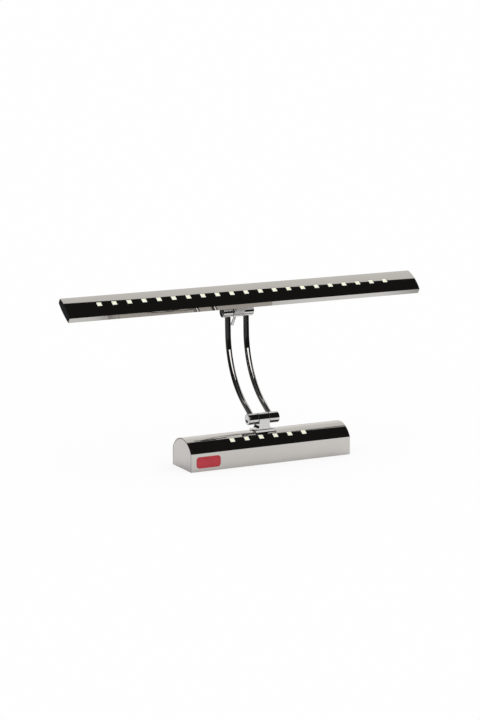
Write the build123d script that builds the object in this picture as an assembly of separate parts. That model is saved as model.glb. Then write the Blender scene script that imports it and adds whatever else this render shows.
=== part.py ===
from build123d import *
import math
import os

# Wall picture light with a twin-tube arm, in millimetres.
# X runs along the light, Z stands out of the wall, Y points to the side the arm leans to.
# The origin is the middle of the mounting plate's back face, which lies on the wall.

# Base housing: a channel with an arched face, closed by flat end plates
BASE_LENGTH = 185.0
BASE_DEPTH = 43.4
BASE_WALL = 18.8  # height of the straight side walls
BASE_HEIGHT = 31.8  # height of the arch's crown
SHEET = 0.8  # polished sheet of the base cover and of the head shell
FIT_GAP = 0.1  # a fixed piece inside a shell
SLIP_GAP = 0.05  # a screw in its hole, or a piece laid on a curved one

# Mounting plate
PLATE = 1.5
PLATE_GAP = 0.3
FLANGE_HEIGHT = 9.5
FLANGE_HALF_LENGTH = 80.0
FIXING_SPACING = 144.0
FIXING_HOLE_R = 2.3
ENTRY_X = 50.0
ENTRY_HOLE_R = 6.0
ENTRY_BORE_R = 3.5

# Inside the base, as (low, high) along an axis or as x, y
DRIVER_X = (-52.0, 6.0)
DRIVER_Y = (-7.0, 17.0)
DRIVER_Z = (1.55, 18.6)
TERMINAL_X = (20.0, 34.0)
TERMINAL_POLES = (-3.0, 4.0)
TERMINAL_Z = (1.55, 12.5)
TERMINAL_WIRE_Z = 5.5
M3 = 1.45  # shank radius of an M3 screw
M4 = 1.9
COVER_SCREWS = (-66.0, 66.0)
COVER_SCREW_Z = 7.0
END_PLATE = 1.0
END_SCREW_X = 86.0
BRACKET_SCREW = (38.0, -11.5)
BRACKET_SHEET = 1.2
EARTH_SCREW = (13.0, 13.5)

# LED packages and their windows
LED_SIZE = 5.0
LED_HEIGHT = 1.6
LED_PITCH = 50.0 / 3
LED_RECESS = 0.15  # below the crown of the shell
WINDOW = 5.7
BOARD = 1.0
BASE_LEDS = 6
HEAD_LEDS = 21
BASE_LED_ANGLE = 33.9  # from the crown towards the front

# Hinges: knuckle in the middle, a sleeve on each side, a hollow pin through all three
BARREL_R = 5.8
KNUCKLE_HALF = 6.0
WASHER = 0.4
SLEEVE_START = 6.5
SLEEVE_END = 16.5
CAP = 1.2
PIN_R = 3.0
PIN_BORE_R = 2.0
RUNNING_GAP = 0.05
LOWER_AXIS = (0.0, 43.7)  # y, z
UPPER_AXIS = (58.5, 147.5)
ARM_TILT_RANGE = (-50.0, 90.0)
HEAD_TILT_RANGE = (-90.0, 85.0)

# Arm tubes: straight, one long bend, straight
TUBE_R = 3.0
TUBE_BORE_R = 2.0
TUBE_X = 10.75
LOWER_RISE = 32.5  # direction in which a tube leaves the lower hinge, above horizontal
UPPER_RISE = 88.0  # direction in which it enters the upper hinge
BEND_R = 86.0
SOCKET_DEPTH = 3.4  # distance of the socket's floor from the hinge axis
WIRE_R = 0.8
WIRE_HOLE_R = 1.3
WIRE_BEND_R = 2.4
WIRE_PARTING = 3.0  # where the wire's fixed and turning stretches meet on the hinge axis

# Foot on the base
FOOT_HALF = 11.0
FOOT_DEPTH = 15.0
FOOT_TOP = 33.1
FOOT_EDGE = 32.7
FOOT_SHOULDER = 0.2  # level strip around the neck
NECK_DEPTH = 11.4  # a little less than the knuckle, so that both faces run into it
FLARE_R = 4.0
FOOT_SCREW_X = 4.4
FOOT_SCREW_TOP = 35.2  # blind end of the screw holes, inside the neck
BACKING_Z = 28.5

# Head, drawn level with the middle of its crown at the origin and then tilted
HEAD_LENGTH = 408.0
HEAD_HALF = 15.0
HEAD_RISE = 2.6
HEAD_WALL = 6.0
HEAD_LEAN = 0.16  # the walls lean in by this much towards the back
BACK_BULGE = 1.2
BACK_PLATE = 1.0
HEAD_TILT = 34.0
AXIS_BACK = 4.7  # upper hinge axis behind the middle of the head
AXIS_DROP = 31.6  # and below its crown
END_CAP = 3.0
CARRIER_HALF = 10.0
CARRIER_WEB = 1.5
CARRIER_LEG = 3.0
PAD_HALF = 12.0
PAD_DEPTH = 14.0
PAD_THICK = 2.5
PAD_SHIFT = 4.0
PAD_SCREW_X = 9.0
BACK_SCREW_X = 185.0
BACK_SCREW_SEAT = -9.62
NUT_PLATE = 2.0
HEAD_WIRE_X = 20.0
HEAD_WIRE_Z = -5.5
LEVER_TIP = 20.6  # distance of the lever's tip from the upper hinge axis
LEVER_ROOT = 6.1
LEVER_R = (1.25, 1.75)  # at the neck and at the tip
LEVER_FLAT = 1.15  # half thickness of the grip

# Derived
BASE_HALF = BASE_DEPTH / 2
BASE_RISE = BASE_HEIGHT - BASE_WALL
BASE_R = (BASE_HALF**2 + BASE_RISE**2) / (2 * BASE_RISE)
BASE_CENTRE = BASE_HEIGHT - BASE_R
BASE_END = BASE_LENGTH / 2
HEAD_R = (HEAD_HALF**2 + HEAD_RISE**2) / (2 * HEAD_RISE)
HEAD_EDGE = -HEAD_RISE - HEAD_WALL
HEAD_END = HEAD_LENGTH / 2
BACK_HALF = HEAD_HALF - SHEET - FIT_GAP
BACK_R = (BACK_HALF**2 + BACK_BULGE**2) / (2 * BACK_BULGE)
LED_FLOOR = -LED_RECESS - LED_HEIGHT
BOARD_FLOOR = LED_FLOOR - BOARD
PAD_FLOOR = HEAD_EDGE - BACK_BULGE - PAD_THICK
TILT = math.radians(HEAD_TILT)
HEAD_PLACE = Pos(
    0,
    UPPER_AXIS[0] - AXIS_BACK * math.cos(TILT) - AXIS_DROP * math.sin(TILT),
    UPPER_AXIS[1] - AXIS_BACK * math.sin(TILT) + AXIS_DROP * math.cos(TILT),
) * Rot(HEAD_TILT, 0, 0)
NODES = {}


def keep(name, *solids):
    """Store one node's solids."""
    NODES[name] = solids[0] if len(solids) == 1 else Compound(children=list(solids))


def bar(profile, start, end):
    """Prism along X of a profile whose axes are Y and Z."""
    return Pos(start, 0, 0) * extrude(Plane.YZ * profile, amount=end - start)


def polygon(*points):
    return make_face(Polyline(*points, close=True))


def block(x, y, z):
    """Box from three (low, high) pairs."""
    centre = [(low + high) / 2 for low, high in (x, y, z)]
    return Pos(*centre) * Box(x[1] - x[0], y[1] - y[0], z[1] - z[0])


def rod_x(radius, start, end):
    """Round bar along the X axis."""
    return Pos((start + end) / 2, 0, 0) * Rot(0, 90, 0) * Cylinder(radius, end - start)


def rod_z(radius, start, end):
    """Round bar along the Z axis."""
    return Pos(0, 0, (start + end) / 2) * Cylinder(radius, end - start)


def arch_face(half, radius, centre, foot, lean=0):
    """Flat foot, sides that lean in downwards and a round top about a centre on the Z axis."""
    spring = centre + math.sqrt(radius**2 - half**2)
    low = half - lean
    sides = Polyline((half, spring), (low, foot), (-low, foot), (-half, spring))
    return make_face(sides + ThreePointArc((-half, spring), (0, centre + radius), (half, spring)))


def led_positions(count):
    return [(i - (count - 1) / 2) * LED_PITCH for i in range(count)]


def screw(shank_r, shank, head_r, head):
    """Pan head above the origin, slotted, with its shank below."""
    body = rod_z(shank_r, -shank, 0) + rod_z(head_r, 0, head)
    body = fillet(body.edges().group_by(Axis.Z)[-1], head * 0.45)
    return body - block((-head_r, head_r), (-0.35, 0.35), (head * 0.55, head + 1))


def wire(points, radii):
    """Round lead along straight runs and tangent arcs."""
    path = FilletPolyline(*points, radius=radii)
    start = Plane(origin=path @ 0, z_dir=path % 0)
    return sweep(start * Circle(WIRE_R), path=path)


# ---------------------------------------------------------------- base

def base_led_place(x):
    """On the arch's axis, turned so that Z points out through a base LED."""
    return Pos(x, 0, BASE_CENTRE) * Rot(BASE_LED_ANGLE, 0, 0)


def mount_plate():
    end = BASE_END - END_PLATE - PLATE_GAP
    half = BASE_HALF - SHEET - PLATE_GAP
    plate = block((-end, end), (-half, half), (0, PLATE))
    for side in (-1, 1):
        flange = sorted((side * half, side * (half - 1.2)))
        plate += block((-FLANGE_HALF_LENGTH, FLANGE_HALF_LENGTH), flange, (0, PLATE + FLANGE_HEIGHT))
    for x in (-FIXING_SPACING / 2, FIXING_SPACING / 2):
        plate -= Pos(x, 0, 0) * rod_z(FIXING_HOLE_R, -1, PLATE + 1)
    plate -= Pos(ENTRY_X, 0, 0) * rod_z(ENTRY_HOLE_R, -1, PLATE + 1)
    for x, y, radius in plate_screw_places():
        plate -= Pos(x, y, 0) * rod_z(radius + SLIP_GAP, -1, PLATE + 1)
    for x in COVER_SCREWS:
        plate -= Pos(x, half, COVER_SCREW_Z) * Rot(90, 0, 0) * rod_z(M3 + SLIP_GAP, -3, 3)
    return plate


def plate_screw_places():
    """Screws that stand in the mounting plate: x, y and shank radius."""
    ends = [(x, 0.0, M3) for x in (-END_SCREW_X, END_SCREW_X)]
    brackets = [(x, BRACKET_SCREW[1], M3) for x in (-BRACKET_SCREW[0], BRACKET_SCREW[0])]
    return ends + brackets + [(*EARTH_SCREW, M4)]


def cable_grommet():
    collar = rod_z(ENTRY_HOLE_R - SLIP_GAP, 0, PLATE) + rod_z(8.0, PLATE, PLATE + 1.8)
    collar = fillet(collar.edges().group_by(Axis.Z)[-1], 0.6)
    return Pos(ENTRY_X, 0, 0) * (collar - rod_z(ENTRY_BORE_R, -1, PLATE + 3))


def led_driver():
    case = block(DRIVER_X, DRIVER_Y, DRIVER_Z)
    case = fillet(case.edges().filter_by(Axis.Z), 1.5)
    return chamfer(case.edges().group_by(Axis.Z)[-1], 0.8)


def terminal_block():
    low, high = TERMINAL_POLES
    body = block(TERMINAL_X, (low - 3.5, high + 3.5), TERMINAL_Z)
    for y in TERMINAL_POLES:
        body -= Pos(0, y, TERMINAL_WIRE_Z) * rod_x(1.25, TERMINAL_X[0] - 1, TERMINAL_X[1] + 1)
        for x in terminal_screw_xs():
            body -= Pos(x, y, 0) * rod_z(1.7, TERMINAL_WIRE_Z, TERMINAL_Z[1] + 1)
    body -= block((26.5, 27.5), (low - 4, high + 4), (TERMINAL_Z[1] - 1.5, TERMINAL_Z[1] + 1))
    return body


def terminal_screw_xs():
    return (TERMINAL_X[0] + 3.5, TERMINAL_X[1] - 3.5)


def terminal_screws():
    top = TERMINAL_Z[1] - 3.0
    slot = block((-2, 2), (-0.25, 0.25), (top - 0.6, top + 1))
    one = rod_z(1.6, TERMINAL_WIRE_Z + 1.35, top) - slot
    return [Pos(x, y, 0) * one for x in terminal_screw_xs() for y in TERMINAL_POLES]


def supply_wires():
    start, end = DRIVER_X[1], TERMINAL_X[0] + 4.0
    return [Pos(0, y, TERMINAL_WIRE_Z) * rod_x(1.0, start, end) for y in TERMINAL_POLES]


def base_led_board():
    top = BASE_R - LED_RECESS - LED_HEIGHT
    return base_led_place(0) * block((-48, 48), (-4.6, 4.6), (top - BOARD, top))


def base_leds():
    low = BASE_R - LED_RECESS - LED_HEIGHT
    return [base_led_place(x) * led_package(low) for x in led_positions(BASE_LEDS)]


def led_package(floor):
    """Square package with its lens well left open, standing on a board."""
    half = LED_SIZE / 2
    package = block((-half, half), (-half, half), (floor, floor + LED_HEIGHT))
    return package - rod_z(1.9, floor + LED_HEIGHT - 0.1, floor + LED_HEIGHT + 1)


def window(radius):
    return Pos(0, 0, radius - 2) * extrude(RectangleRounded(WINDOW, WINDOW, 0.4), amount=4)


def base_led_bracket():
    """Sheet angle: sloped seat for the board, a leg and a foot on the mounting plate."""
    angle = math.radians(BASE_LED_ANGLE)
    seat = BASE_R - LED_RECESS - LED_HEIGHT - BOARD - SLIP_GAP
    thick = BRACKET_SHEET

    def slope(radius, along):
        """Point at a radius from the arch's axis and a distance down the slope."""
        return (
            -radius * math.sin(angle) - along * math.cos(angle),
            BASE_CENTRE + radius * math.cos(angle) - along * math.sin(angle),
        )

    outer = slope(seat, 5)
    inner_y = outer[0] + thick
    inner_along = (-inner_y - (seat - thick) * math.sin(angle)) / math.cos(angle)
    foot = PLATE + SLIP_GAP
    profile = polygon(
        slope(seat, -5),
        outer,
        (outer[0], foot),
        (-8.5, foot),
        (-8.5, foot + thick),
        (inner_y, foot + thick),
        slope(seat - thick, inner_along),
        slope(seat - thick, -5),
    )
    bracket = bar(profile, -46, 46)
    for x in (-BRACKET_SCREW[0], BRACKET_SCREW[0]):
        bracket -= Pos(x, BRACKET_SCREW[1], 0) * rod_z(M3 + 0.2, 0, 5)
    return bracket


def bracket_screws():
    top = PLATE + BRACKET_SHEET + 2 * SLIP_GAP
    one = screw(M3, top - 0.1, 2.7, 1.9)
    return [Pos(x, BRACKET_SCREW[1], top) * one for x in (-BRACKET_SCREW[0], BRACKET_SCREW[0])]


def earth_screw():
    return Pos(*EARTH_SCREW, PLATE) * screw(M4, PLATE - 0.1, 3.6, 2.5)


def base_cover():
    outer = arch_face(BASE_HALF, BASE_R, BASE_CENTRE, 0)
    inner = arch_face(BASE_HALF - SHEET, BASE_R - SHEET, BASE_CENTRE, -1)
    cover = bar(outer - inner, -BASE_END, BASE_END)
    for x in led_positions(BASE_LEDS):
        cover -= base_led_place(x) * window(BASE_R)
    for x in (-FOOT_SCREW_X, FOOT_SCREW_X):
        cover -= Pos(x, 0, 0) * rod_z(M3 + 0.2, BACKING_Z, BASE_HEIGHT + 1)
    cover -= rod_z(WIRE_HOLE_R + 0.3, BACKING_Z, BASE_HEIGHT + 1)
    for x in COVER_SCREWS:
        cover -= Pos(x, BASE_HALF, COVER_SCREW_Z) * Rot(90, 0, 0) * rod_z(M3 + 0.2, -3, 3)
    return cover


def cover_screws():
    one = Rot(-90, 0, 0) * screw(M3, 3.5, 2.7, 1.7)
    return [Pos(x, BASE_HALF, COVER_SCREW_Z) * one for x in COVER_SCREWS]


def base_end_plate():
    """Left end plate, flush with the cover's edge, with a flange on the mounting plate."""
    inset = SHEET + FIT_GAP
    face = arch_face(BASE_HALF - inset, BASE_R - inset, BASE_CENTRE, 0)
    plate = bar(face, -BASE_END, -BASE_END + END_PLATE)
    foot = PLATE + SLIP_GAP
    plate += block((-BASE_END + END_PLATE, -81), (-12, 12), (foot, foot + END_PLATE))
    return plate - Pos(-END_SCREW_X, 0, 0) * rod_z(M3 + 0.2, 0, 4)


def end_plate_screws():
    top = PLATE + END_PLATE + 2 * SLIP_GAP
    one = screw(M3, top - 0.1, 2.7, 1.9)
    return [Pos(x, 0, top) * one for x in (-END_SCREW_X, END_SCREW_X)]


def foot_backing_plate():
    """Lies under the cover's crown: round on top, flat below for the screw heads."""
    radius = BASE_R - SHEET - SLIP_GAP
    plate = Pos(0, 0, BASE_CENTRE) * rod_x(radius, -13, 13)
    plate &= block((-13, 13), (-6.5, 6.5), (BACKING_Z, BASE_HEIGHT))
    for x in (-FOOT_SCREW_X, FOOT_SCREW_X):
        plate -= Pos(x, 0, 0) * rod_z(M3 + 0.2, BACKING_Z - 1, BASE_HEIGHT)
    return plate - rod_z(WIRE_HOLE_R + 0.3, BACKING_Z - 1, BASE_HEIGHT)


def foot_screws():
    one = Rot(180, 0, 0) * screw(M3, 6.4, 2.6, 1.9)
    return [Pos(x, 0, BACKING_Z - SLIP_GAP) * one for x in (-FOOT_SCREW_X, FOOT_SCREW_X)]


def label_plate():
    face = Plane.XZ.offset(BASE_HALF) * Pos(-72.7, 9.4) * RectangleRounded(26.5, 10.9, 2.2)
    return extrude(face, amount=0.3)


def base_wire():
    """From the driver over its top, up through the foot and along the hinge axis."""
    y, z = LOWER_AXIS
    points = [
        (DRIVER_X[0], 6, 12),
        (DRIVER_X[0] - 7, 6, 12),
        (DRIVER_X[0] - 7, 6, 22),
        (-8, y, 22),
        (0, y, 22),
        (0, y, z),
        (-WIRE_PARTING, y, z),
    ]
    return wire(points, [4.5, 4.5, 12, 3.5, 1.9])


def base_led_wire():
    """From the driver's end up to the back of the board's left end."""
    x, turn_x = -47.2, DRIVER_X[0] - 4.5
    board = BASE_R - LED_RECESS - LED_HEIGHT - BOARD - SLIP_GAP
    end = (base_led_place(x) * Pos(0, 0, board)).position
    below = (base_led_place(x) * Pos(0, 0, board - 5.5)).position
    points = [
        (DRIVER_X[0], -3, 12),
        (turn_x, -3, 12),
        (turn_x, below.Y, below.Z),
        tuple(below),
        tuple(end),
    ]
    return wire(points, [WIRE_BEND_R] * 3)


# ---------------------------------------------------------------- hinges and arm

def at_axis(axis):
    return Pos(0, axis[0], axis[1])


def neck_with_flares():
    """Front outline of the neck, which widens in hollow curves onto the foot."""
    y, z = LOWER_AXIS
    side, low, high = KNUCKLE_HALF, FOOT_TOP, FOOT_TOP + FLARE_R
    wide = side + FLARE_R
    right = RadiusArc((side, high), (wide, low), -FLARE_R)
    left = RadiusArc((-side, high), (-wide, low), FLARE_R)
    over = Polyline((-side, high), (-side, z), (side, z), (side, high))
    under = Polyline((-wide, low), (-wide, BACKING_Z), (wide, BACKING_Z), (wide, low))
    outline = make_face(over + right + under + left)
    return Pos(0, y, 0) * extrude(Plane.XZ * outline, amount=NECK_DEPTH / 2, both=True)


def arm_foot():
    y, z = LOWER_AXIS
    edge = FOOT_DEPTH / 2
    shoulder = NECK_DEPTH / 2 + FOOT_SHOULDER
    plate = polygon(
        (-edge, BACKING_Z),
        (-edge, FOOT_EDGE),
        (-shoulder, FOOT_TOP),
        (shoulder, FOOT_TOP),
        (edge, FOOT_EDGE),
        (edge, BACKING_Z),
    )
    body = neck_with_flares() + bar(plate, -FOOT_HALF, FOOT_HALF) + Pos(0, y, z) * knuckle()
    body -= Pos(0, y, z) * rod_x(PIN_R + RUNNING_GAP, -8, 8)
    body -= Pos(0, 0, BASE_CENTRE) * rod_x(BASE_R + SLIP_GAP, -20, 20)
    for x in (-FOOT_SCREW_X, FOOT_SCREW_X):
        body -= Pos(x, 0, 0) * rod_z(M3 + SLIP_GAP, BACKING_Z, FOOT_SCREW_TOP)
    return body - rod_z(WIRE_HOLE_R, BACKING_Z, z)


def knuckle():
    barrel = rod_x(BARREL_R, -KNUCKLE_HALF, KNUCKLE_HALF)
    return chamfer(barrel.edges().filter_by(GeomType.CIRCLE), 0.4)


def tube_directions():
    """Unit vectors from each hinge axis into the tubes, in (y, z)."""
    low, high = math.radians(LOWER_RISE), math.radians(UPPER_RISE)
    return (math.cos(low), math.sin(low)), (-math.cos(high), -math.sin(high))


def tube_path(x, start, end):
    """Centre line of a tube from one hinge axis to the other, short by start and end."""
    (ly, lz), (uy, uz) = tube_directions()
    dy, dz = UPPER_AXIS[0] - LOWER_AXIS[0], UPPER_AXIS[1] - LOWER_AXIS[1]
    cross = ly * uz - lz * uy
    reach = (dy * uz - dz * uy) / cross
    corner = (x, LOWER_AXIS[0] + reach * ly, LOWER_AXIS[1] + reach * lz)
    first = (x, LOWER_AXIS[0] + start * ly, LOWER_AXIS[1] + start * lz)
    last = (x, UPPER_AXIS[0] + end * uy, UPPER_AXIS[1] + end * uz)
    return first, corner, last


def arm_tube(x):
    points = tube_path(x, SOCKET_DEPTH + SLIP_GAP, SOCKET_DEPTH + SLIP_GAP)
    path = FilletPolyline(*points, radius=BEND_R)
    section = Plane(origin=path @ 0, z_dir=path % 0) * (Circle(TUBE_R) - Circle(TUBE_BORE_R))
    return sweep(section, path=path)


def radial_hole(x, direction, radius, start, end):
    """Round hole at right angles to a hinge axis that runs through the origin."""
    centre = (start + end) / 2
    place = Plane(origin=(x, centre * direction[0], centre * direction[1]), z_dir=(0, *direction))
    return place.location * Cylinder(radius, end - start)


def sleeve(side, direction, wired):
    body = rod_x(BARREL_R, SLEEVE_START, SLEEVE_END)
    body = chamfer(body.edges().filter_by(GeomType.CIRCLE).group_by(Axis.X)[0], 0.4)
    body -= rod_x(PIN_R + 0.02, SLEEVE_START - 1, SLEEVE_END + 1)
    body -= radial_hole(TUBE_X, direction, TUBE_R + 0.02, SOCKET_DEPTH, BARREL_R + 2)
    if wired:
        body -= radial_hole(TUBE_X, direction, WIRE_HOLE_R, 0, SOCKET_DEPTH + 1)
    return body if side > 0 else mirror(body, Plane.YZ)


def hinge_pin(direction, slot_middle, slot_half):
    """Hollow pin with a hole into the left tube and a slot for the wire to swing in."""
    pin = rod_x(PIN_R, -SLEEVE_END + 0.1, SLEEVE_END - 0.1)
    pin -= rod_x(PIN_BORE_R, -SLEEVE_END, SLEEVE_END)
    pin -= radial_hole(-TUBE_X, direction, WIRE_HOLE_R, 0, PIN_R + 1)
    wedge = make_face(
        Polyline((0, 0), polar(8, slot_middle - slot_half))
        + Polyline(polar(8, slot_middle + slot_half), (0, 0))
        + ThreePointArc(
            polar(8, slot_middle - slot_half), polar(8, slot_middle), polar(8, slot_middle + slot_half)
        )
    )
    return pin - bar(wedge, -1.7, 1.7)


def polar(radius, degrees):
    return (radius * math.cos(math.radians(degrees)), radius * math.sin(math.radians(degrees)))


def washers():
    outer, inner = BARREL_R - 0.4, PIN_R + RUNNING_GAP
    one = rod_x(outer, SLEEVE_START - WASHER, SLEEVE_START)
    one -= rod_x(inner, 0, SLEEVE_END)
    return [one, mirror(one, Plane.YZ)]


def barrel_cap(side):
    """Dished disc over the end of a hinge barrel, with a plug in the hollow pin."""
    disc = rod_x(BARREL_R, SLEEVE_END, SLEEVE_END + CAP)
    disc = fillet(disc.edges().group_by(Axis.X)[-1], 0.7)
    disc -= Pos(SLEEVE_END + CAP + 11.5, 0, 0) * Sphere(12.0)
    disc += rod_x(PIN_BORE_R - SLIP_GAP, SLEEVE_END - 3, SLEEVE_END)
    return disc if side > 0 else mirror(disc, Plane.YZ)


def arm_wire():
    """Along the lower hinge axis, through the left tube and back to the upper axis."""
    _, corner, _ = tube_path(-TUBE_X, 0, 0)
    low, high = (-TUBE_X, *LOWER_AXIS), (-TUBE_X, *UPPER_AXIS)
    start = -WIRE_PARTING - 0.2
    points = [(start, *LOWER_AXIS), low, corner, high, (start, *UPPER_AXIS)]
    return wire(points, [WIRE_BEND_R, BEND_R, WIRE_BEND_R])


def slot_span(middle, limits):
    """Middle and half width of a slot that a wire sweeps as the joint turns."""
    low, high = limits
    return middle + (low + high) / 2, (high - low) / 2 + 27


# ---------------------------------------------------------------- head, drawn level

def back_arc(inset):
    """Bulged back outline, from right to left, set in by a distance."""
    radius = BACK_R - inset
    centre = HEAD_EDGE - BACK_BULGE + BACK_R
    low = centre - math.sqrt(radius**2 - BACK_HALF**2)
    return ThreePointArc((BACK_HALF, low), (0, centre - radius), (-BACK_HALF, low)), low


def head_shell():
    outer = arch_face(HEAD_HALF, HEAD_R, -HEAD_R, HEAD_EDGE, HEAD_LEAN)
    inner = arch_face(HEAD_HALF - SHEET, HEAD_R - SHEET, -HEAD_R, HEAD_EDGE - 1)
    shell = bar(outer - inner, -HEAD_END, HEAD_END)
    for x in led_positions(HEAD_LEDS):
        shell -= Pos(x, 0, 0) * window(0)
    return shell


def head_back_plate():
    outer, low = back_arc(0)
    inner, top = back_arc(BACK_PLATE)
    ends = Line((BACK_HALF, top), (BACK_HALF, low)) + Line((-BACK_HALF, low), (-BACK_HALF, top))
    end = HEAD_END - END_CAP - FIT_GAP
    plate = bar(make_face(outer + ends + inner), -end, end)
    for x, y in back_screw_places():
        plate -= Pos(x, y, 0) * rod_z(1.4, -12, -5)
    for x in (-PAD_SCREW_X, PAD_SCREW_X):
        plate -= Pos(x, PAD_SHIFT, 0) * rod_z(M3 + 0.2, -12, -5)
    return plate - Pos(0, AXIS_BACK, 0) * rod_z(WIRE_HOLE_R + 0.3, -12, -5)


def head_end_cap():
    """Left end cap: fills the shell's end down to the bulged back."""
    half, radius = BACK_HALF, HEAD_R - SHEET - FIT_GAP
    spring = -HEAD_R + math.sqrt(radius**2 - half**2)
    crown = radius - HEAD_R
    back, low = back_arc(0)
    sides = Line((half, low), (half, spring)) + Line((-half, spring), (-half, low))
    face = make_face(sides + ThreePointArc((half, spring), (0, crown), (-half, spring)) + back)
    cap = bar(face, -HEAD_END, -HEAD_END + END_CAP)
    plug = block((-HEAD_END + END_CAP, -HEAD_END + END_CAP + 5), (-12, 12), (-7.4, -3.2))
    return cap + plug - block((-205 + END_CAP + 2, -190), (-10.2, 10.2), (-6.4, -2))


def head_board_carrier():
    """Extruded channel: web under the board, two thick legs down to the back plate."""
    web_top = BOARD_FLOOR - SLIP_GAP
    web = block((-190, 190), (-CARRIER_HALF, CARRIER_HALF), (web_top - CARRIER_WEB, web_top))
    carrier = web
    for side in (-1, 1):
        leg = sorted((side * CARRIER_HALF, side * (CARRIER_HALF - CARRIER_LEG)))
        carrier += block((-190, 190), leg, (-8.15, web_top))
    for x, y in back_screw_places():
        carrier -= Pos(x, y, 0) * rod_z(1.25, -9, -4.8)
    return carrier - Pos(HEAD_WIRE_X, AXIS_BACK, 0) * rod_z(1.6, -5, -2)


def head_led_board():
    half = HEAD_LEDS * LED_PITCH / 2
    return block((-half, half), (-6, 6), (BOARD_FLOOR, LED_FLOOR))


def back_screw_places():
    y = CARRIER_HALF - CARRIER_LEG / 2
    return [(x, side * y) for x in (-BACK_SCREW_X, BACK_SCREW_X) for side in (-1, 1)]


def back_plate_screws():
    one = Rot(180, 0, 0) * screw(1.2, 4.2, 2.2, 1.3)
    return [Pos(x, y, BACK_SCREW_SEAT) * one for x, y in back_screw_places()]


def bracket_nut_plate():
    plate = block((-14, 14), (-2.5, 6.8), (-8.5, -8.5 + NUT_PLATE))
    for x in (-PAD_SCREW_X, PAD_SCREW_X):
        plate -= Pos(x, PAD_SHIFT, 0) * rod_z(M3 + SLIP_GAP, -9, -5)
    return plate - Pos(0, AXIS_BACK, 0) * rod_z(1.6, -9, -5)


def head_bracket():
    """Pad under the head, a short neck and the middle knuckle of the upper hinge."""
    low, high = PAD_SHIFT - PAD_DEPTH / 2, PAD_SHIFT + PAD_DEPTH / 2
    pad = block((-PAD_HALF, PAD_HALF), (low, high), (PAD_FLOOR, -8))
    pad = fillet(pad.edges().filter_by(Axis.Z), 2.5)
    centre = HEAD_EDGE - BACK_BULGE + BACK_R
    pad -= Pos(0, 0, centre) * rod_x(BACK_R + SLIP_GAP, -20, 20)
    pad = chamfer(pad.edges().group_by(Axis.Z)[0], 0.6)
    neck_y = (AXIS_BACK - NECK_DEPTH / 2, AXIS_BACK + NECK_DEPTH / 2)
    neck = block((-KNUCKLE_HALF, KNUCKLE_HALF), neck_y, (-AXIS_DROP, PAD_FLOOR))
    body = pad + neck + Pos(0, AXIS_BACK, -AXIS_DROP) * knuckle()
    body -= Pos(0, AXIS_BACK, -AXIS_DROP) * rod_x(PIN_R + RUNNING_GAP, -8, 8)
    for x in (-PAD_SCREW_X, PAD_SCREW_X):
        body -= Pos(x, PAD_SHIFT, 0) * rod_z(M3 + 0.2, -16, -5)
    body -= Pos(0, AXIS_BACK, 0) * rod_z(WIRE_HOLE_R, -AXIS_DROP, -5)
    return body - Pos(0, AXIS_BACK, -AXIS_DROP) * rod_z(M3 + RUNNING_GAP, -8, 0)


def bracket_pad_screws():
    one = Rot(180, 0, 0) * screw(M3, 5.6, 2.4, 1.6)
    return [Pos(x, PAD_SHIFT, PAD_FLOOR - SLIP_GAP) * one for x in (-PAD_SCREW_X, PAD_SCREW_X)]


def head_wire():
    """From the upper hinge axis through the neck and along the channel to the board."""
    axis = (AXIS_BACK, -AXIS_DROP)
    points = [
        (-WIRE_PARTING, *axis),
        (0, *axis),
        (0, AXIS_BACK, HEAD_WIRE_Z),
        (HEAD_WIRE_X, AXIS_BACK, HEAD_WIRE_Z),
        (HEAD_WIRE_X, AXIS_BACK, BOARD_FLOOR - SLIP_GAP),
    ]
    return wire(points, [1.9, 2.0, 1.9])


def tilt_lock_lever():
    """Thumb screw that grips the upper pin: threaded shank, neck and flattened grip."""
    neck_r, tip_r = LEVER_R
    ball = LEVER_TIP - tip_r
    length = ball - LEVER_ROOT
    grip = Pos(0, 0, -LEVER_ROOT - length / 2) * Cone(tip_r, neck_r, length)
    grip += Pos(0, 0, -ball) * Sphere(tip_r)
    for side in (-1, 1):
        flat = sorted((side * LEVER_FLAT, side * 4))
        grip -= block((-4, 4), flat, (-LEVER_TIP - 1, -LEVER_ROOT - 4.5))
    shank = rod_z(M3, -LEVER_ROOT, -PIN_R - 0.15)
    return Pos(0, AXIS_BACK, -AXIS_DROP) * (shank + grip)


# ---------------------------------------------------------------- assembly

def build_base():
    keep("mount_plate", mount_plate())
    keep("cable_grommet", cable_grommet())
    keep("led_driver", led_driver())
    keep("terminal_block", terminal_block())
    keep("terminal_screws", *terminal_screws())
    keep("supply_wires", *supply_wires())
    keep("earth_screw", earth_screw())
    keep("base_led_bracket", base_led_bracket())
    keep("base_led_board", base_led_board())
    keep("base_leds", *base_leds())
    keep("base_led_wire", base_led_wire())
    keep("bracket_screws", *bracket_screws())
    keep("base_cover", base_cover())
    keep("cover_screws", *cover_screws())
    keep("base_end_plate_left", base_end_plate())
    keep("base_end_plate_right", mirror(base_end_plate(), Plane.YZ))
    keep("end_plate_screws", *end_plate_screws())
    keep("foot_backing_plate", foot_backing_plate())
    keep("foot_screws", *foot_screws())
    keep("label_plate", label_plate())
    keep("arm_foot", arm_foot())
    keep("base_wire", base_wire())


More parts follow.
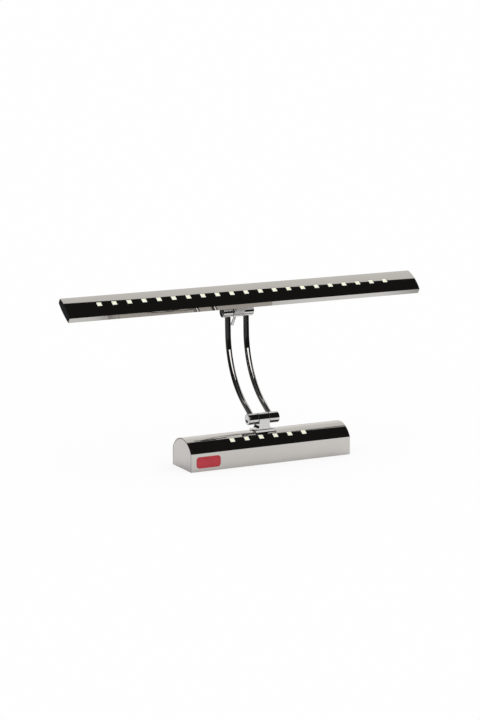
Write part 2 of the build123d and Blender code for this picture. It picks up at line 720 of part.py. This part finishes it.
def build_arm():
    low_direction, high_direction = tube_directions()
    low_slot = slot_span(-90, (-ARM_TILT_RANGE[1], -ARM_TILT_RANGE[0]))
    high_slot = slot_span(90 + HEAD_TILT, HEAD_TILT_RANGE)
    hinges = {
        "lower": (LOWER_AXIS, low_direction, low_slot),
        "upper": (UPPER_AXIS, high_direction, high_slot),
    }
    for name, (axis, direction, slot) in hinges.items():
        keep(name + "_hinge_pin", at_axis(axis) * hinge_pin(direction, *slot))
        keep(name + "_washers", *[at_axis(axis) * one for one in washers()])
        for side, word in ((-1, "left"), (1, "right")):
            keep(f"{name}_sleeve_{word}", at_axis(axis) * sleeve(side, direction, side < 0))
            keep(f"{name}_cap_{word}", at_axis(axis) * barrel_cap(side))
    keep("arm_tube_left", arm_tube(-TUBE_X))
    keep("arm_tube_right", arm_tube(TUBE_X))
    keep("arm_wire", arm_wire())


def build_head():
    led = led_package(LED_FLOOR)
    parts = {
        "head_shell": [head_shell()],
        "head_back_plate": [head_back_plate()],
        "head_end_cap_left": [head_end_cap()],
        "head_end_cap_right": [mirror(head_end_cap(), Plane.YZ)],
        "head_board_carrier": [head_board_carrier()],
        "head_led_board": [head_led_board()],
        "head_leds": [Pos(x, 0, 0) * led for x in led_positions(HEAD_LEDS)],
        "back_plate_screws": back_plate_screws(),
        "bracket_nut_plate": [bracket_nut_plate()],
        "head_bracket": [head_bracket()],
        "bracket_pad_screws": bracket_pad_screws(),
        "head_wire": [head_wire()],
        "tilt_lock_lever": [tilt_lock_lever()],
    }
    for name, solids in parts.items():
        keep(name, *[HEAD_PLACE * solid for solid in solids])


build_base()
build_arm()
build_head()
os.makedirs("parts", exist_ok=True)
for name, shape in NODES.items():
    export_step(shape, f"parts/{name}.step")
print(len(NODES), "nodes")
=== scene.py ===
import bmesh
import bpy
import math
from mathutils import Matrix, Vector


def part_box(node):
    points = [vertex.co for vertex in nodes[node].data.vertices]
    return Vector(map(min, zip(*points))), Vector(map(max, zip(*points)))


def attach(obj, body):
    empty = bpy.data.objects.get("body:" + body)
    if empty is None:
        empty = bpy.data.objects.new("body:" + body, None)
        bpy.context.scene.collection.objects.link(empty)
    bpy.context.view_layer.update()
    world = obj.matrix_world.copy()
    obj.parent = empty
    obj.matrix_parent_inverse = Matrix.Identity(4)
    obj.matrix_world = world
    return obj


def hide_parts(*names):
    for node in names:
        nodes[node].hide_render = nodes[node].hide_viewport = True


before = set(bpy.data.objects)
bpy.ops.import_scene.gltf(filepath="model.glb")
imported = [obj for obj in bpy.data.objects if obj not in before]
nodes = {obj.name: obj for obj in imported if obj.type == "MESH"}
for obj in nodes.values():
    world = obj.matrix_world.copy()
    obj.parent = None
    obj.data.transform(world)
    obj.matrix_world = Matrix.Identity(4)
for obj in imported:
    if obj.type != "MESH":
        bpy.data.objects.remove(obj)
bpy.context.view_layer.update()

# Everything here is in metres, unless a comment says otherwise.

# Camera: long lens, low and to the left of the front
CAMERA_AZIMUTH = -26.89  # degrees
CAMERA_ELEVATION = 11.02  # degrees
CAMERA_DISTANCE = 2.5
CAMERA_TARGET = (-0.02586, 0.0, 0.10742)
CAMERA_LENS = 121.49  # millimetres
SENSOR_WIDTH = 36.0  # millimetres
CLIP_END = 60.0

# Studio: levels of light are strengths of the emission and background shaders
WHITE = (1.0, 1.0, 1.0)
WORLD_LIGHT = 1.12
ROOM_DARK = 0.012  # what mirrors see where no card stands
ROOM_TINT = (1.0, 0.98, 0.95)
FLOOR_HALF = 20.0
FLOOR_ALBEDO = 0.86
FLOOR_DARK = (0.055, 0.012)  # what mirrors see in the floor beyond the sweep, from left to right
FLOOR_DARK_X = (-0.4, 0.3)
FLOOR_GLOW = 0.82  # share of plain white that the camera sees in the floor
SWEEP_RADIUS = 0.30  # lit part of the floor, as mirrors see it
SWEEP_SOFT = 0.05  # half the width of its soft edge
CARD_TINT = (1.0, 0.985, 0.96)
CEILING_Z = 0.67
CEILING_X = (-1.6, -0.25, 2.2)  # left end, start of the bright part, right end
CEILING_FRONT = (0.74, 0.346, -0.37)  # Y of the slanting front edge at each of them
CEILING_BRIGHT = (0.80, 0.95)  # at its front and at its back
CEILING_DIM = 0.3
WALL_Y = 1.2
WALL_X = (-0.2, 2.2)
WALL_FOOT = -0.05
WALL_BRIGHT = 0.95
# Lower and upper edge of the card in front: left, right, Y and Z
FRONT_LOW = (-0.68, 0.46, -0.94, 0.375)
FRONT_HIGH = (-0.23, 0.20, -0.61, 1.11)
FRONT_BRIGHT = 1.6
OVERHEAD_X = (-0.38, -0.04)
OVERHEAD_Y = (-0.46, 0.12)
OVERHEAD_DIM = 0.10

# Finishes, linear colours
STEEL = (0.585, 0.565, 0.54)
CHROME = (0.62, 0.615, 0.61)
ZINC = (0.60, 0.62, 0.63)
ALUMINIUM = (0.70, 0.70, 0.71)
PIN_STEEL = (0.52, 0.52, 0.53)
NICKEL = (0.62, 0.61, 0.59)
BRASS = (0.72, 0.50, 0.22)
CAP_BLACK = (0.010, 0.010, 0.012)
WIRE_BLACK = (0.03, 0.03, 0.032)
RUBBER_BLACK = (0.02, 0.02, 0.021)
NYLON_BLACK = (0.05, 0.05, 0.052)
LED_BODY = (0.90, 0.91, 0.82)
CASE_GREY = (0.78, 0.78, 0.76)
BLOCK_GREY = (0.74, 0.73, 0.68)
GEL = (0.94, 0.93, 0.68)
REDS = ((0.38, 0.008, 0.02), (0.46, 0.014, 0.032))  # the label's darkest and lightest red
MASK = ((0.80, 0.80, 0.75), (0.88, 0.88, 0.84))  # over bare board and over copper
# Painted shade: the sheet's cut edges get this dark colour for the shade in the thin gap where the end
# plates meet the sheet
PAINTED_GAP_SHADE = (0.07, 0.068, 0.065)
CUT_FACING = 0.98  # a face that looks along X more squarely than this is a cut edge

# Arm tubes, as on the CAD part: Y and Z of the hinge axes and the directions between them
LOWER_AXIS = Vector((0.0, 0.0437))
UPPER_AXIS = Vector((0.0585, 0.1475))
TUBE_RISES = (32.5, 88.0)  # degrees above level at the lower and at the upper end
TUBE_BEND = 0.086
TUBE_SOCKET = 0.00345  # distance of a tube's end from its hinge axis
TUBE_X = 0.01075
TUBE_RADIUS = 0.003
TUBE_BORE = 0.002
TUBE_RIM = 0.00015  # smooth shading turns over the tube's end within this length
TUBE_TURNS = 64
TUBE_STEPS = 96

WELD = 1e-6  # vertices of a CAD node closer than this are one

# Detail pieces
GEL_RADIUS = 0.00188
GEL_RISE = 0.00012
GEL_WELL = 0.0001
GEL_RINGS = 5
GEL_STEPS = 24
LABEL_GROW = 0.0005  # the clear coat stands out past the printed plate
LABEL_CORNER = 0.0034
LABEL_LEAST_CORNER = 0.0005
LABEL_STEPS = 9
# Section of the label from its rim inwards: distance from the rim and height above the wall
LABEL_SECTION = (
    (0, 0), (0, 0.00012), (0.00008, 0.00022), (0.00024, 0.0003), (0.00075, 0.00036),
    (0.00085, 0.00029), (0.00115, 0.00029), (0.00125, 0.00037), (0.0024, 0.00039),
)


class Tree:
    """Adds nodes to one shader tree. An input is a plain value or another node's output."""

    def __init__(self, owner):
        owner.use_nodes = True
        self.nodes = owner.node_tree.nodes
        self.links = owner.node_tree.links

    def plug(self, value, socket):
        if isinstance(value, bpy.types.NodeSocket):
            self.links.new(value, socket)
        elif hasattr(value, "__len__") and len(value) == 3 and socket.type == "RGBA":
            socket.default_value = (*value, 1)
        else:
            socket.default_value = value

    def add(self, kind, inputs=(), **settings):
        """inputs is a dict of socket name or number to value."""
        made = self.nodes.new("ShaderNode" + kind)
        for name, value in settings.items():
            setattr(made, name, value)
        for key, value in dict(inputs).items():
            self.plug(value, made.inputs[key])
        return made

    def math(self, operation, a, b=0.0):
        return self.add("Math", {0: a, 1: b}, operation=operation).outputs[0]

    def place(self, stretch=(1, 1, 1)):
        """The object's own coordinates, stretched."""
        coordinates = self.add("TexCoord").outputs["Object"]
        return self.add("Mapping", {"Vector": coordinates, "Scale": stretch}).outputs[0]

    def noise(self, scale, detail=2.0, stretch=(1, 1, 1)):
        inputs = {"Vector": self.place(stretch), "Scale": scale, "Detail": detail}
        return self.add("TexNoise", inputs).outputs[0]

    def span(self, value, low, high, source=(0.3, 0.7)):
        """value, stretched from its usual range to low..high."""
        inputs = {0: value, 1: source[0], 2: source[1], 3: low, 4: high}
        return self.add("MapRange", inputs).outputs[0]

    def mix(self, factor, a, b):
        return self.add("Mix", {0: factor, 6: a, 7: b}, data_type="RGBA").outputs[2]

    def bump(self, height, distance, below=None):
        inputs = {"Height": height, "Distance": distance, "Strength": 1.0}
        if below is not None:
            inputs["Normal"] = below
        return self.add("Bump", inputs).outputs[0]


def scaled(colour, factor):
    return tuple(min(1.0, c * factor) for c in colour)


def new_material(name):
    """A material, its tree and its Principled shader."""
    made = bpy.data.materials.new(name)
    tree = Tree(made)
    return made, tree, tree.nodes["Principled BSDF"]


def finish(tree, shader, colour, roughness, normal, **plain):
    """Wires a Principled shader. plain holds single values for its other sockets."""
    tree.plug(colour, shader.inputs["Base Color"])
    tree.plug(roughness, shader.inputs["Roughness"])
    tree.plug(normal, shader.inputs["Normal"])
    for name, value in plain.items():
        shader.inputs[name.replace("_", " ")].default_value = value


def mottled(tree, colour, scale, spread):
    """colour with a soft cloudy variation of plus and minus spread."""
    cloud = tree.span(tree.noise(scale, detail=3), 0, 1)
    return tree.mix(cloud, scaled(colour, 1 - spread), scaled(colour, 1 + spread))


def polished_sheet(name, colour, haze):
    """Mirror polished sheet: polishing lines along X, faint waves, and cut edges painted dark as the shade
    of the thin gap at the end plates.
    """
    made, tree, shader = new_material(name)
    lines = tree.noise(scale=160, detail=3, stretch=(0.08, 6, 6))
    smudges = tree.span(tree.noise(scale=22, detail=4), low=0.0, high=0.035, source=(0.52, 0.75))
    roughness = tree.math("ADD", tree.span(lines, low=haze, high=haze + 0.03), smudges)
    # The sheet's cut edges, the faces that look along X, get a painted shade for the dark gap at the end
    # plates
    facing = tree.add("SeparateXYZ", {0: tree.add("NewGeometry").outputs["True Normal"]}).outputs[0]
    painted_shade_cut = tree.math("GREATER_THAN", tree.math("ABSOLUTE", facing), CUT_FACING)
    surface = tree.mix(painted_shade_cut, mottled(tree, colour, scale=30, spread=0.02), PAINTED_GAP_SHADE)
    waves = tree.bump(tree.noise(scale=9, detail=1, stretch=(1, 2, 2)), distance=0.00012)
    normal = tree.bump(lines, distance=0.0000012, below=waves)
    finish(tree, shader, surface, roughness, normal, Metallic=1.0)
    return made


def satin_sheet(name, colour):
    """Flat polished sheet of the end plates, a little hazier, with lines up and down."""
    made, tree, shader = new_material(name)
    lines = tree.noise(scale=220, detail=3, stretch=(4, 4, 0.12))
    roughness = tree.span(lines, low=0.16, high=0.24)
    normal = tree.bump(lines, distance=0.000003)
    surface = mottled(tree, colour, scale=40, spread=0.03)
    finish(tree, shader, surface, roughness, normal, Metallic=1.0)
    return made


def plated(name, colour, peel, haze):
    """Chrome plate over a polished casting or tube, with a faint orange peel."""
    made, tree, shader = new_material(name)
    roughness = tree.span(tree.noise(scale=260, detail=3), low=haze, high=2.4 * haze)
    normal = tree.bump(tree.noise(scale=420, detail=2), distance=peel)
    surface = mottled(tree, colour, scale=60, spread=0.02)
    finish(tree, shader, surface, roughness, normal, Metallic=1.0)
    return made


def zinc_sheet(name):
    """Galvanised sheet with its crystal spangle."""
    made, tree, shader = new_material(name)
    cells = tree.add("TexVoronoi", {"Vector": tree.place(), "Scale": 260}).outputs["Color"]
    grain = tree.add("SeparateColor", {0: cells}).outputs[0]
    surface = tree.mix(grain, scaled(ZINC, 0.8), scaled(ZINC, 1.12))
    roughness = tree.span(grain, low=0.28, high=0.5, source=(0, 1))
    normal = tree.bump(tree.noise(scale=900, detail=2), distance=0.00001)
    finish(tree, shader, surface, roughness, normal, Metallic=1.0)
    return made


def satin_aluminium(name):
    """Extruded aluminium: fine die lines along X."""
    made, tree, shader = new_material(name)
    lines = tree.noise(scale=300, detail=4, stretch=(0.03, 5, 5))
    surface = tree.mix(tree.span(lines, 0, 1), scaled(ALUMINIUM, 0.88), scaled(ALUMINIUM, 1.06))
    normal = tree.bump(lines, distance=0.000008)
    roughness = tree.span(lines, low=0.26, high=0.42)
    finish(tree, shader, surface, roughness, normal, Metallic=1.0)
    return made


def turned_metal(name, colour, rough):
    """Small turned or ground parts: cloudy tone and fine tool marks."""
    made, tree, shader = new_material(name)
    marks = tree.noise(scale=1500, detail=3, stretch=(1, 1, 2.5))
    normal = tree.bump(marks, distance=0.000006)
    roughness = tree.span(marks, low=rough, high=rough + 0.14)
    surface = mottled(tree, colour, scale=350, spread=0.08)
    finish(tree, shader, surface, roughness, normal, Metallic=1.0)
    return made


def moulded(name, colour, rough, texture, spread=0.06):
    """Moulded plastic or rubber: spark-eroded texture and a little unevenness in tone and gloss."""
    made, tree, shader = new_material(name)
    grain = tree.noise(scale=1800, detail=3)
    gloss = tree.noise(scale=120, detail=3)
    roughness = tree.span(gloss, low=rough - 0.04, high=rough + 0.06)
    surface = mottled(tree, colour, scale=90, spread=spread)
    finish(tree, shader, surface, roughness, tree.bump(grain, distance=texture))
    return made


def solder_mask(name):
    """White circuit board: copper tracks show through the mask as faint ridges."""
    made, tree, shader = new_material(name)
    tracks = tree.add("TexWave", {"Vector": tree.place(), "Scale": 110, "Distortion": 0.6})
    edge = tree.span(tracks.outputs[0], 0, 1, source=(0.45, 0.6))
    surface = tree.mix(edge, *MASK)
    roughness = tree.span(edge, low=0.36, high=0.46, source=(0, 1))
    finish(tree, shader, surface, roughness, tree.bump(edge, distance=0.00003))
    return made


def enamel(name):
    """Red printed label under a clear coat, a little uneven towards its ends."""
    made, tree, shader = new_material(name)
    cloud = tree.span(tree.noise(scale=140, detail=4), 0, 1)
    surface = tree.mix(cloud, *REDS)
    normal = tree.bump(tree.noise(scale=700, detail=2), distance=0.000012)
    roughness = tree.span(tree.noise(scale=200, detail=3), low=0.3, high=0.42)
    finish(tree, shader, surface, roughness, normal, Coat_Weight=0.15, Coat_Roughness=0.1)
    return made


def gel_look(name):
    """Pale phosphor in clear gel."""
    made, tree, shader = new_material(name)
    grain = tree.noise(scale=2600, detail=2)
    surface = tree.mix(tree.span(grain, 0, 1), scaled(GEL, 0.94), scaled(GEL, 1.04))
    roughness = tree.span(grain, low=0.18, high=0.3)
    finish(tree, shader, surface, roughness, tree.bump(grain, distance=0.000004))
    return made


def cad_materials():
    """One material for each slot of the record."""
    return {
        "polished_steel": polished_sheet("polished_steel_look", STEEL, haze=0.02),
        "end_plate_steel": satin_sheet("end_plate_look", STEEL),
        "chrome_parts": plated("chrome_parts_look", CHROME, peel=0.0000003, haze=0.025),
        "chrome_tube": plated("chrome_tube_look", CHROME, peel=0.0000001, haze=0.01),
        "black_caps": moulded("black_caps_look", CAP_BLACK, rough=0.16, texture=0.000006),
        "zinc_sheet": zinc_sheet("zinc_sheet_look"),
        "satin_aluminium": satin_aluminium("satin_aluminium_look"),
        "screws": turned_metal("screws_look", NICKEL, rough=0.18),
        "pin_steel": turned_metal("pin_steel_look", PIN_STEEL, rough=0.14),
        "brass": turned_metal("brass_look", BRASS, rough=0.2),
        "white_board": solder_mask("white_board_look"),
        "led_package": moulded("led_package_look", LED_BODY, rough=0.32, texture=0.000003, spread=0.03),
        "driver_case": moulded("driver_case_look", CASE_GREY, rough=0.45, texture=0.00002, spread=0.03),
        "terminal_plastic": moulded("terminal_look", BLOCK_GREY, rough=0.38, texture=0.00001, spread=0.04),
        "wire_cover": moulded("wire_cover_look", WIRE_BLACK, rough=0.42, texture=0.00001),
        "grommet_rubber": moulded("grommet_look", RUBBER_BLACK, rough=0.6, texture=0.00003),
        "washer_nylon": moulded("washer_look", NYLON_BLACK, rough=0.4, texture=0.00001),
        "red_label": enamel("red_label_look"),
    }


def dress_nodes():
    """Gives every CAD node the material of its slot."""
    looks = cad_materials()
    for piece in nodes.values():
        for place in piece.material_slots:
            place.material = looks[place.material.name.split(".")[0]]


def from_bmesh(name, mesh, material, smooth=False):
    """A piece made of a bmesh, which is used up."""
    data = bpy.data.meshes.new(name)
    mesh.to_mesh(data)
    mesh.free()
    for face in data.polygons:
        face.use_smooth = smooth
    data.materials.append(material)
    piece = bpy.data.objects.new(name, data)
    bpy.context.scene.collection.objects.link(piece)
    return piece


def islands(name):
    """Loose parts of a CAD node, from left to right, each a list of its vertices' positions."""
    mesh = bmesh.new()
    mesh.from_mesh(nodes[name].data)
    bmesh.ops.remove_doubles(mesh, verts=mesh.verts, dist=WELD)
    left = set(mesh.verts)
    found = []
    while left:
        queue = [left.pop()]
        part = []
        while queue:
            vertex = queue.pop()
            part.append(vertex.co.copy())
            for edge in vertex.link_edges:
                other = edge.other_vert(vertex)
                if other in left:
                    left.remove(other)
                    queue.append(other)
        found.append(part)
    mesh.free()
    return sorted(found, key=lambda part: min(v.x for v in part))


def upward_side(name):
    """Outward direction of the side of a node's LEDs that lies closest to level."""
    mesh = nodes[name].data
    return max(mesh.polygons, key=lambda p: p.normal.z).normal.copy()


def middle_of(points):
    """Middle of the box round some points."""
    low = Vector(min(p[i] for p in points) for i in range(3))
    high = Vector(max(p[i] for p in points) for i in range(3))
    return (low + high) / 2


def add_dome(mesh, place):
    """A shallow round dome with a flat underside, drawn at the origin and then placed."""
    rings = []
    for ring in range(GEL_RINGS):
        out = GEL_RADIUS * (1 - ring / GEL_RINGS)
        rise = GEL_RISE * (1 - (out / GEL_RADIUS) ** 2)
        turns = [2 * math.pi * step / GEL_STEPS for step in range(GEL_STEPS)]
        rings.append([
            mesh.verts.new(place @ Vector((out * math.cos(t), out * math.sin(t), rise))) for t in turns
        ])
    crown = mesh.verts.new(place @ Vector((0, 0, GEL_RISE)))
    for k in range(GEL_STEPS):
        after = (k + 1) % GEL_STEPS
        for outer, inner in zip(rings, rings[1:]):
            mesh.faces.new((outer[k], outer[after], inner[after], inner[k]))
        mesh.faces.new((rings[-1][k], rings[-1][after], crown))
    mesh.faces.new(list(reversed(rings[0])))


def gel_windows(name, leds, body):
    """A domed gel window in the well of each LED of a node."""
    mesh = bmesh.new()
    up = upward_side(leds)
    turn = up.to_track_quat("Z", "Y").to_matrix().to_4x4()
    for part in islands(leds):
        middle = middle_of(part)
        top = max(point.dot(up) for point in part)
        seat = middle + up * (top - middle.dot(up) - GEL_WELL)
        add_dome(mesh, Matrix.Translation(seat) @ turn)
    piece = from_bmesh(name, mesh, gel_look(name + "_look"), smooth=True)
    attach(piece, body)


def rounded_outline(half_x, half_z, radius):
    """Points round a rectangle with rounded corners, anticlockwise seen from the front."""
    points = []
    for corner in range(4):
        side_x, side_z = ((1, 1), (-1, 1), (-1, -1), (1, -1))[corner]
        for step in range(LABEL_STEPS):
            turn = math.radians(90 * (corner + step / (LABEL_STEPS - 1)))
            points.append((
                side_x * (half_x - radius) + radius * math.cos(turn),
                side_z * (half_z - radius) + radius * math.sin(turn),
            ))
    return points


def domed_label():
    """The label as a soft cast plate with a fine groove round its edge."""
    low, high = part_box("label_plate")
    wall = high.y
    middle = (low + high) / 2
    half_x = (high.x - low.x) / 2 + LABEL_GROW
    half_z = (high.z - low.z) / 2 + LABEL_GROW
    mesh = bmesh.new()
    rings = []
    for inset, rise in LABEL_SECTION:
        corner = max(LABEL_CORNER - inset, LABEL_LEAST_CORNER)
        outline = rounded_outline(half_x - inset, half_z - inset, corner)
        rings.append([mesh.verts.new((middle.x + x, wall - rise, middle.z + z)) for x, z in outline])
    count = len(rings[0])
    for outer, inner in zip(rings, rings[1:]):
        for k in range(count):
            after = (k + 1) % count
            mesh.faces.new((outer[k], outer[after], inner[after], inner[k]))
    mesh.faces.new(rings[-1])
    mesh.faces.new(list(reversed(rings[0])))
    bmesh.ops.recalc_face_normals(mesh, faces=mesh.faces)
    piece = from_bmesh("label_cast", mesh, enamel("label_cast_look"), smooth=True)
    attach(piece, "base")
    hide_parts("label_plate")


def tube_stations():
    """Centre points in the YZ plane and directions of an arm tube, from its lower end up."""
    first, last = (math.radians(rise) for rise in TUBE_RISES)
    leave = Vector((math.cos(first), math.sin(first)))
    enter = Vector((math.cos(last), math.sin(last)))
    gap = UPPER_AXIS - LOWER_AXIS
    reach = (gap.x * enter.y - gap.y * enter.x) / (leave.x * enter.y - leave.y * enter.x)
    corner = LOWER_AXIS + leave * reach
    setback = TUBE_BEND * math.tan((last - first) / 2)
    middle = corner - leave * setback + Vector((-leave.y, leave.x)) * TUBE_BEND
    stations = [(LOWER_AXIS + leave * (TUBE_SOCKET + rim), leave) for rim in (0, TUBE_RIM)]
    for step in range(TUBE_STEPS + 1):
        turn = first + (last - first) * step / TUBE_STEPS
        out = Vector((math.sin(turn), -math.cos(turn)))
        stations.append((middle + out * TUBE_BEND, Vector((math.cos(turn), math.sin(turn)))))
    stations += [(UPPER_AXIS - enter * (TUBE_SOCKET + rim), enter) for rim in (TUBE_RIM, 0)]
    return stations


def add_ring(mesh, x, station, radius):
    """Vertices round a tube at one station, square to the tube."""
    centre, along = station
    ring = []
    for step in range(TUBE_TURNS):
        turn = 2 * math.pi * step / TUBE_TURNS
        out = centre + Vector((-along.y, along.x)) * radius * math.cos(turn)
        ring.append(mesh.verts.new((x + radius * math.sin(turn), out.x, out.y)))
    return ring


def smooth_tube(name, x, replaced):
    """An arm tube with an even grid, so that its long reflections run smoothly."""
    stations = tube_stations()
    mesh = bmesh.new()
    rings = [add_ring(mesh, x, station, TUBE_RADIUS) for station in stations]
    rings += [add_ring(mesh, x, station, TUBE_BORE) for station in reversed(stations)]
    rings.append(rings[0])
    for near, far in zip(rings, rings[1:]):
        for k in range(TUBE_TURNS):
            after = (k + 1) % TUBE_TURNS
            mesh.faces.new((near[k], near[after], far[after], far[k]))
    bmesh.ops.recalc_face_normals(mesh, faces=mesh.faces)
    piece = from_bmesh(name, mesh, nodes[replaced].material_slots[0].material, smooth=True)
    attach(piece, "arm")
    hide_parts(replaced)


def glossy_only(piece):
    """Seen in mirrors alone: not by the camera, and it casts no shadow and no light."""
    piece.visible_camera = False
    piece.visible_diffuse = False
    piece.visible_shadow = False
    piece.visible_transmission = False


def card(name, corners, strength, fade):
    """A flat lit card with these corners: strength at the first two, fade at the last two."""
    mesh = bmesh.new()
    uv = mesh.loops.layers.uv.new("UVMap")
    face = mesh.faces.new([mesh.verts.new(corner) for corner in corners])
    for loop, place in zip(face.loops, ((0, 0), (1, 0), (1, 1), (0, 1))):
        loop[uv].uv = place
    material = bpy.data.materials.new(name)
    tree = Tree(material)
    tree.nodes.clear()
    across = tree.add("SeparateXYZ", {0: tree.add("TexCoord").outputs["UV"]}).outputs[1]
    level = tree.span(across, strength, fade, source=(0, 1))
    light = tree.add("Emission", {"Color": CARD_TINT, "Strength": level}).outputs[0]
    tree.add("OutputMaterial", {0: light})
    glossy_only(from_bmesh(name, mesh, material))


def make_floor():
    """White floor. In mirrors it is lit only near the object, and dark beyond."""
    mesh = bmesh.new()
    half = FLOOR_HALF
    corners = ((-half, -half, 0), (half, -half, 0), (half, half, 0), (-half, half, 0))
    mesh.faces.new([mesh.verts.new(corner) for corner in corners])
    material = bpy.data.materials.new("floor_look")
    tree = Tree(material)
    tree.nodes.clear()
    ray = tree.add("LightPath").outputs
    spot = tree.add("TexCoord").outputs["Object"]
    away = tree.add("VectorMath", {0: spot}, operation="LENGTH").outputs["Value"]
    sweep_edge = (SWEEP_RADIUS - SWEEP_SOFT, SWEEP_RADIUS + SWEEP_SOFT)
    beyond = tree.span(away, 0, 1, source=sweep_edge)
    side = tree.add("SeparateXYZ", {0: spot}).outputs[0]
    dark = tree.span(side, *FLOOR_DARK, source=FLOOR_DARK_X)
    paper = tree.add("BsdfDiffuse", {"Color": (FLOOR_ALBEDO,) * 3}).outputs[0]
    white = tree.add("Emission", {"Color": WHITE, "Strength": 1.0}).outputs[0]
    shade = tree.add("Emission", {"Color": WHITE, "Strength": dark}).outputs[0]
    seen = tree.math("MULTIPLY", ray["Is Camera Ray"], FLOOR_GLOW)
    plain = tree.add("MixShader", {0: seen, 1: paper, 2: white}).outputs[0]
    mirrored = tree.math("MULTIPLY", ray["Is Glossy Ray"], beyond)
    surface = tree.add("MixShader", {0: mirrored, 1: plain, 2: shade}).outputs[0]
    tree.add("OutputMaterial", {0: surface})
    from_bmesh("floor", mesh, material)


def make_world():
    """Even white light, which mirrors don't see."""
    world = bpy.data.worlds.new("studio")
    bpy.context.scene.world = world
    tree = Tree(world)
    tree.nodes.clear()
    mirrored = tree.add("LightPath").outputs["Is Glossy Ray"]
    light = tree.add("Background", {"Color": WHITE, "Strength": WORLD_LIGHT}).outputs[0]
    room = tree.add("Background", {"Color": ROOM_TINT, "Strength": ROOM_DARK}).outputs[0]
    tree.add("OutputWorld", {0: tree.add("MixShader", {0: mirrored, 1: light, 2: room}).outputs[0]})


def ceiling_part(name, side, front, back):
    """Left (0) or right (1) part of the ceiling reflector, with its strength at front and back."""
    left, right = CEILING_X[side:side + 2]
    left_front, right_front = CEILING_FRONT[side:side + 2]
    card(name, (
        (left, left_front, CEILING_Z),
        (right, right_front, CEILING_Z),
        (right, WALL_Y, CEILING_Z),
        (left, WALL_Y, CEILING_Z),
    ), front, back)


def make_cards():
    """Soft boxes and reflectors around the object."""
    # Reflector above and behind; its slanting front edge ends the grey on the crowns
    ceiling_part("ceiling_card", 1, *CEILING_BRIGHT)
    # Its dimmer left part serves views from the right
    ceiling_part("ceiling_left_card", 0, CEILING_DIM, CEILING_DIM)
    left, right = WALL_X
    card("wall_card", (
        (left, WALL_Y, CEILING_Z),
        (right, WALL_Y, CEILING_Z),
        (right, WALL_Y, WALL_FOOT),
        (left, WALL_Y, WALL_FOOT),
    ), WALL_BRIGHT, WALL_BRIGHT)
    # Wide soft box in front: the streak down the tubes
    low_left, low_right, low_y, low_z = FRONT_LOW
    high_left, high_right, high_y, high_z = FRONT_HIGH
    card("front_card", (
        (low_left, low_y, low_z),
        (low_right, low_y, low_z),
        (high_right, high_y, high_z),
        (high_left, high_y, high_z),
    ), FRONT_BRIGHT, FRONT_BRIGHT)
    # Dim card overhead: the grey line down the lower half of the tubes
    left, right = OVERHEAD_X
    front, back = OVERHEAD_Y
    card("overhead_card", (
        (left, front, CEILING_Z),
        (right, front, CEILING_Z),
        (right, back, CEILING_Z),
        (left, back, CEILING_Z),
    ), OVERHEAD_DIM, OVERHEAD_DIM)


def make_camera():
    """Long lens from the front left, a little above the object."""
    lens = bpy.data.cameras.new("camera")
    lens.lens = CAMERA_LENS
    lens.sensor_width = SENSOR_WIDTH
    lens.clip_end = CLIP_END
    camera = bpy.data.objects.new("camera", lens)
    bpy.context.scene.collection.objects.link(camera)
    azimuth, elevation = math.radians(CAMERA_AZIMUTH), math.radians(CAMERA_ELEVATION)
    away = Vector((
        math.sin(azimuth) * math.cos(elevation),
        -math.cos(azimuth) * math.cos(elevation),
        math.sin(elevation),
    ))
    camera.location = Vector(CAMERA_TARGET) + away * CAMERA_DISTANCE
    camera.rotation_mode = "QUATERNION"
    camera.rotation_quaternion = (-away).to_track_quat("-Z", "Y")
    bpy.context.scene.camera = camera


dress_nodes()
gel_windows("head_led_gel", "head_leds", "head")
gel_windows("base_led_gel", "base_leds", "base")
domed_label()
smooth_tube("tube_left", -TUBE_X, "arm_tube_left")
smooth_tube("tube_right", TUBE_X, "arm_tube_right")
make_floor()
make_world()
make_cards()
make_camera()
bpy.context.scene.view_settings.view_transform = "Standard"
